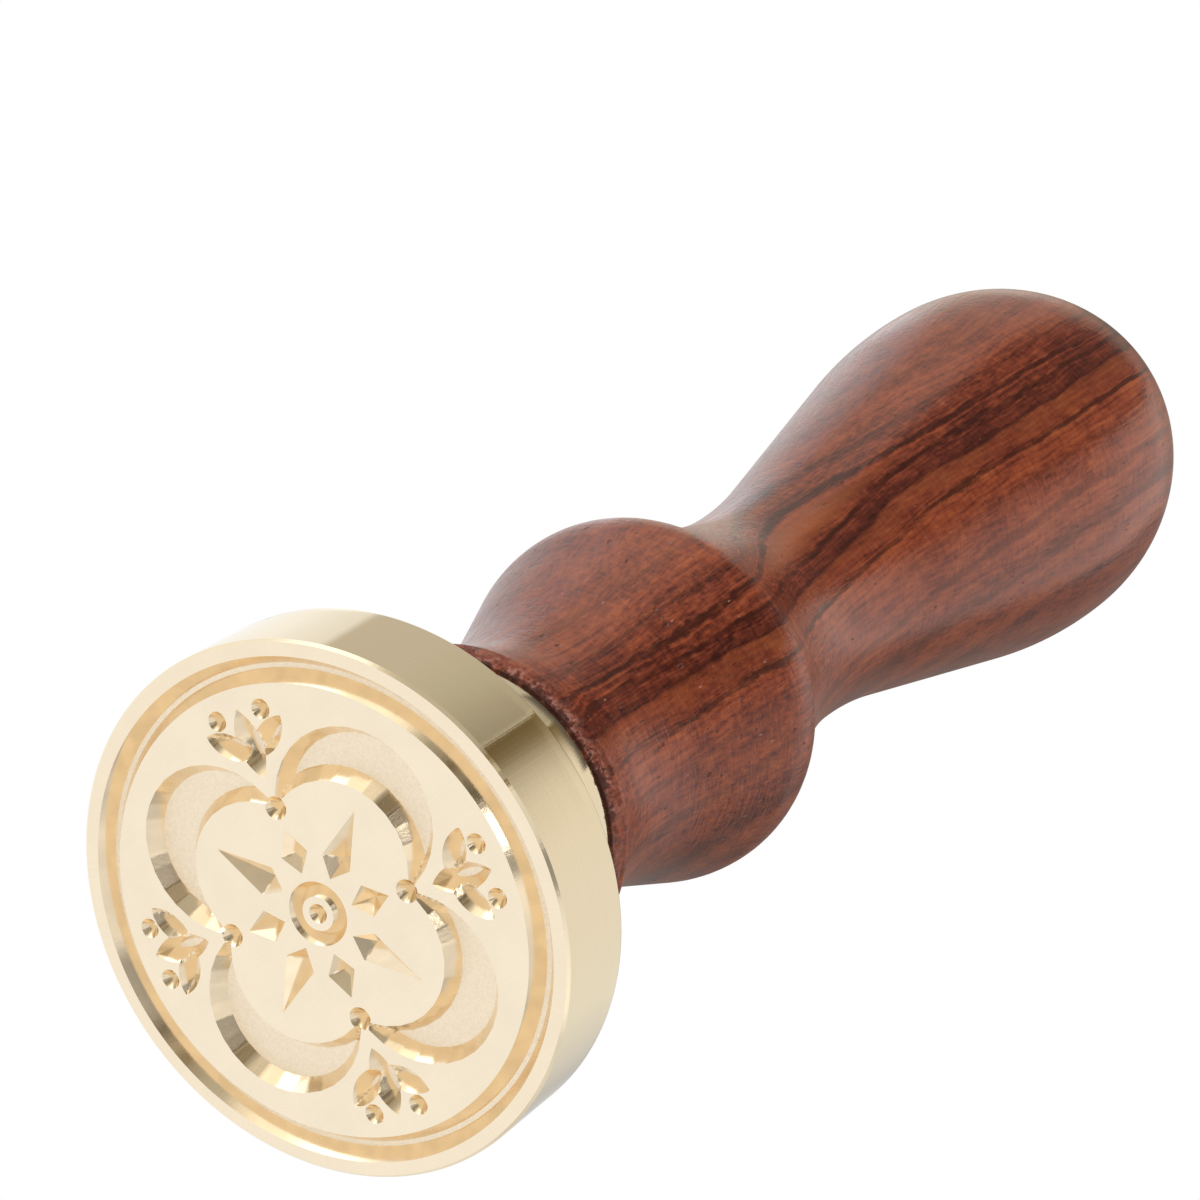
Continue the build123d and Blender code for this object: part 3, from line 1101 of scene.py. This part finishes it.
# studio: white surround, soft lamps, dark cards seen only in reflections, a pale floor seen only from above
studio = {
    "fill": (0.21, 0.43),  # level of the surround on plain surfaces, from below and from above
    "fillSpan": (-1.0, 0.3),  # straight down, and a little over level
    # dark cards beside the handle: two directions as the camera sees them, square to the axis, and
    # rows of height, distance from the axis and reach to both sides, mm
    "cards": {
        "cardBelow": {
            "outward": (0.0, 0.945, 0.327),
            "sideways": (0.8786, 0.156, -0.4513),
            "rows": [(34, 19, -20, 8), (62, 36, -38, 18), (86, 40, -38, 36), (180, 40, -38, 36)],
            "colour": (0.27, 0.24, 0.22),
        },
        "cardRight": {
            "outward": (0.712, -0.428, -0.557),
            "sideways": (0.515, 0.857, 0.0),
            "rows": [(40, 22, -4, 6), (48, 22, -15, 6), (63, 22, -29, 6), (200, 22, -29, 6)],
            "colour": (0.12, 0.11, 0.10),
        },
    },
    "floorDrop": 0.2,  # mm below the seal face
    "floorReach": 1.5,  # metres
    "floorColour": (0.86, 0.86, 0.86),
    "floorFade": (0.09, 0.34, 0.40, 1.0),  # metres over which the floor turns white, and how white
    "lampAim": 40,  # mm above the seal face
    "lamps": [
        # name, direction the camera sees, distance m, size m, level on a facing surface, shows in mirrors
        ("keyLamp", (0.24, -0.94, -0.20), 0.45, 0.50, 0.42, False),
        ("sideLamp", (0.80, 0.02, 0.60), 0.45, 0.30, 0.58, False),
        ("frontLamp", (0.20, -0.20, -0.95), 0.60, 0.30, 0.27, False),
        ("glintLamp", (0.63, -0.23, -0.735), 0.45, 0.12, 0.09, True),
    ],
    # what shiny surfaces see, by angle round the line of sight: 0 is right, 90 up
    "tent": [
        (-180, (1.0, 1.0, 1.0)), (-134, (1.0, 1.0, 1.0)), (-112, (0.92, 0.92, 0.92)),
        (-88, (0.84, 0.84, 0.84)), (-72, (0.70, 0.70, 0.70)), (-62, (0.58, 0.58, 0.58)),
        (-50, (0.56, 0.56, 0.56)), (-38, (0.70, 0.70, 0.69)), (-26, (0.84, 0.84, 0.81)),
        (0, (0.85, 0.83, 0.80)), (22, (0.84, 0.79, 0.71)), (45, (0.42, 0.39, 0.32)),
        (63, (0.52, 0.50, 0.43)), (75, (0.57, 0.54, 0.48)), (97, (0.58, 0.54, 0.47)),
        (100, (0.86, 0.86, 0.86)), (118, (1.0, 1.0, 1.0)), (180, (1.0, 1.0, 1.0)),
    ],
    # widths in the tent are shares of a turn
    "tentSlant": 0.05,  # how far its edges slant
    "panel": (25, 45),  # a dark panel fades in from the first angle and stops short at the second
    "panelTint": (0.45, 0.36, 0.22),
    "panelDepth": (0.5, 0.67),  # it ends between these, measured along the line of sight
    "panelStop": 0.0006,
    "panelSquare": (0.01, 0.03),  # beside its edge there is no slant, and beyond there is
    "edgeColour": (1.0, 0.95, 0.80),  # a thin bright line beside the panel
    "edgeLine": (0.0012, 0.0004, 0.0010, 0.6),  # its place past the panel, inner and outer width, strength
    # parts of the tent that are darker or lighter: direction, outer and inner angle, level
    "patches": [
        ((0.90, -0.40, -0.17), 32, 16, 0.25),  # open side, right of the camera
        ((0.65, -0.72, -0.26), 42, 25, 0.45),  # and above it
        ((0.49, 0.19, -0.85), 10, 4, 0.40),  # the camera itself
        ((0.63, -0.23, -0.735), 22, 17, 0.45),  # round the glint lamp
        ((0.48, 0.80, 0.36), 28, 10, 0.40),  # the foot
        ((0.36, -0.05, 0.93), 22, 6, 0.40),  # far right
        ((-0.12, -0.985, -0.10), 41, 24, 2.30),  # overhead
        ((0.08, -0.37, 0.93), 13, 5, 1.70),  # high, far behind
        ((0.56, 0.52, -0.645), 32, 17, 1.50),  # low, in front
    ],
}


def makeLamps():
    aim = Vector((0, 0, studio["lampAim"] * mm))
    for name, direction, distance, size, level, mirrored in studio["lamps"]:
        data = bpy.data.lights.new(name, "AREA")
        data.size = size
        data.energy = level * pi**2 * distance**2
        lamp = addObject(name, data)
        towards = seen(*direction).normalized()
        lamp.location = aim + towards * distance
        lamp.rotation_mode = "QUATERNION"
        lamp.rotation_quaternion = towards.to_track_quat("Z", "Y")
        lamp.visible_glossy = mirrored
        lamp.visible_camera = False


def turnShare(angle):
    return (angle + 180) / 360


def tentPanels(rightward, upward, away):
    share = spread(mathNode("ARCTAN2", upward, rightward), -pi, pi, smooth=False)
    fadeIn, stop = [turnShare(angle) for angle in studio["panel"]]
    # most edges slant, the dark panel's is square to the turned side
    slant = times(minus(away, 0.5), studio["tentSlant"])
    beside = mathNode("ABSOLUTE", minus(share, stop))
    share = plus(share, times(slant, spread(beside, *studio["panelSquare"])))
    tent = ramp(share, [(turnShare(angle), colour) for angle, colour in studio["tent"]])
    panel = spread(share, fadeIn, stop)
    panel = times(panel, spread(share, stop, stop + studio["panelStop"], 1, 0))
    panel = times(panel, spread(away, *studio["panelDepth"], 1, 0))
    tent = mixColour(panel, tent, mixColour(1.0, tent, studio["panelTint"], "MULTIPLY"))
    past, inner, outer, strength = studio["edgeLine"]
    beside = mathNode("ABSOLUTE", minus(share, stop + past))
    return mixColour(spread(beside, inner, outer, strength, 0), tent, studio["edgeColour"])


def makeSurround():
    world = bpy.data.worlds.new("surround")
    scene.world = world
    world.use_nodes = True
    tree = world.node_tree
    tree.nodes.clear()
    direction = addNode(tree, "ShaderNodeTexCoord").outputs["Generated"]

    def facing(*towards):
        return vectorNode("DOT_PRODUCT", direction, seen(*towards).normalized())

    def background(colour, strength):
        inputs = {"Color": asColour(colour), "Strength": strength}
        return addNode(tree, "ShaderNodeBackground", inputs).outputs[0]

    def mixShader(factor, first, second):
        return joinNode("ShaderNodeMixShader", {0: factor, 1: first, 2: second}).outputs[0]

    upward = facing(0, -1, 0)
    tent = tentPanels(facing(1, 0, 0), upward, facing(0, 0, 1))
    for towards, wide, narrow, level in studio["patches"]:
        dim = spread(facing(*towards), cos(radians(wide)), cos(radians(narrow)), 1, level)
        shade = joinNode("ShaderNodeCombineColor", {"Red": dim, "Green": dim, "Blue": dim}).outputs[0]
        tent = mixColour(1.0, tent, shade, "MULTIPLY")
    white = (1, 1, 1)
    fill = background(white, spread(upward, *studio["fillSpan"], *studio["fill"], False))
    rays = addNode(tree, "ShaderNodeLightPath").outputs
    mirrored = mathNode("MAXIMUM", rays["Is Glossy Ray"], rays["Is Transmission Ray"])
    shown = mixShader(mirrored, fill, background(tent, 1.0))
    shown = mixShader(rays["Is Camera Ray"], shown, background(white, 1.0))
    out = addNode(tree, "ShaderNodeOutputWorld")
    tree.links.new(shown, out.inputs["Surface"])


def makeStage(name, corners, faces, material, hiddenFrom):
    mesh = bpy.data.meshes.new(name)
    mesh.from_pydata(corners, [], faces)
    mesh.materials.append(material)
    backdrop = addObject(name, mesh)
    for ray in hiddenFrom:
        setattr(backdrop, "visible_" + ray, False)


def makeCard(name, card):
    # seen only in reflections, most of all in the polish of the wood
    outward, sideways = seen(*card["outward"]).normalized(), seen(*card["sideways"]).normalized()
    corners = []
    for height, distance, *reach in card["rows"]:
        for across in reach:
            spot = outward * distance + sideways * across
            corners.append((spot.x * mm, spot.y * mm, height * mm))
    faces = [(i, i + 1, i + 3, i + 2) for i in range(0, len(corners) - 2, 2)]
    material, tree, surface = emptyMaterial(name)
    inputs = {"Color": asColour(card["colour"]), "Strength": 1.0}
    tree.links.new(addNode(tree, "ShaderNodeEmission", inputs).outputs[0], surface)
    makeStage(name, corners, faces, material, ("camera", "diffuse", "transmission", "shadow"))


def makeFloor():
    # the seal face is seen from under the floor, so the floor keeps out of its light and reflections
    reach, z = studio["floorReach"], -studio["floorDrop"] * mm
    corners = [(-reach, -reach, z), (reach, -reach, z), (reach, reach, z), (-reach, reach, z)]
    material, tree, surface = emptyMaterial("pale_floor")
    far = spread(vectorNode("LENGTH", objectPlace(tree)), *studio["floorFade"])
    paper = addNode(tree, "ShaderNodeBsdfDiffuse", {"Color": asColour(studio["floorColour"])}).outputs[0]
    glow = addNode(tree, "ShaderNodeEmission", {"Color": (1, 1, 1, 1), "Strength": 1.0}).outputs[0]
    clear = addNode(tree, "ShaderNodeBsdfTransparent").outputs[0]
    top = joinNode("ShaderNodeMixShader", {0: far, 1: paper, 2: glow}).outputs[0]
    underside = addNode(tree, "ShaderNodeNewGeometry").outputs["Backfacing"]
    both = joinNode("ShaderNodeMixShader", {0: underside, 1: top, 2: clear}).outputs[0]
    tree.links.new(both, surface)
    makeStage("floor", corners, [(0, 1, 2, 3)], material, ("diffuse", "glossy", "transmission", "shadow"))


makeLamps()
makeSurround()
for cardName, cardPlan in studio["cards"].items():
    makeCard(cardName, cardPlan)
makeFloor()
print("studio set")
